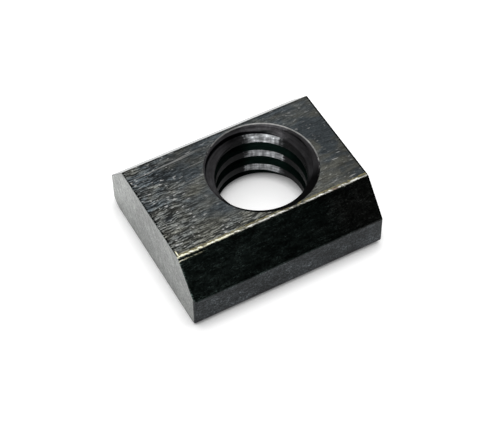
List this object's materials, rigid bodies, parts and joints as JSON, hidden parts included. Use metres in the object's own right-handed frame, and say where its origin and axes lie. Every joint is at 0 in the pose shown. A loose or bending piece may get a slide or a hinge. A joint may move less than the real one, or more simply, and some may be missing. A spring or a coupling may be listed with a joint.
{
  "type": "t slot nut",
  "caption": "Slide-in T-slot nut: a short bar with sloped shoulders and an offset threaded bore, countersunk at both faces.",
  "frame": {"origin": "where the thread's axis meets the plane of the wide clamping face", "axes": "+X along the slot, towards the short end of the nut; +Y across the slot; +Z along the thread's axis from the wide clamping face to the narrow face"},
  "size_m": [0.0124, 0.0108, 0.0044],
  "materials": {
    "black_oxide_steel": "black oxide over drawn steel, satin, bright on the worn long edges and on the cut ends"
  },
  "bodies": {
    "root": {"slot_nut": "black_oxide_steel"}
  },
  "joints": []
}
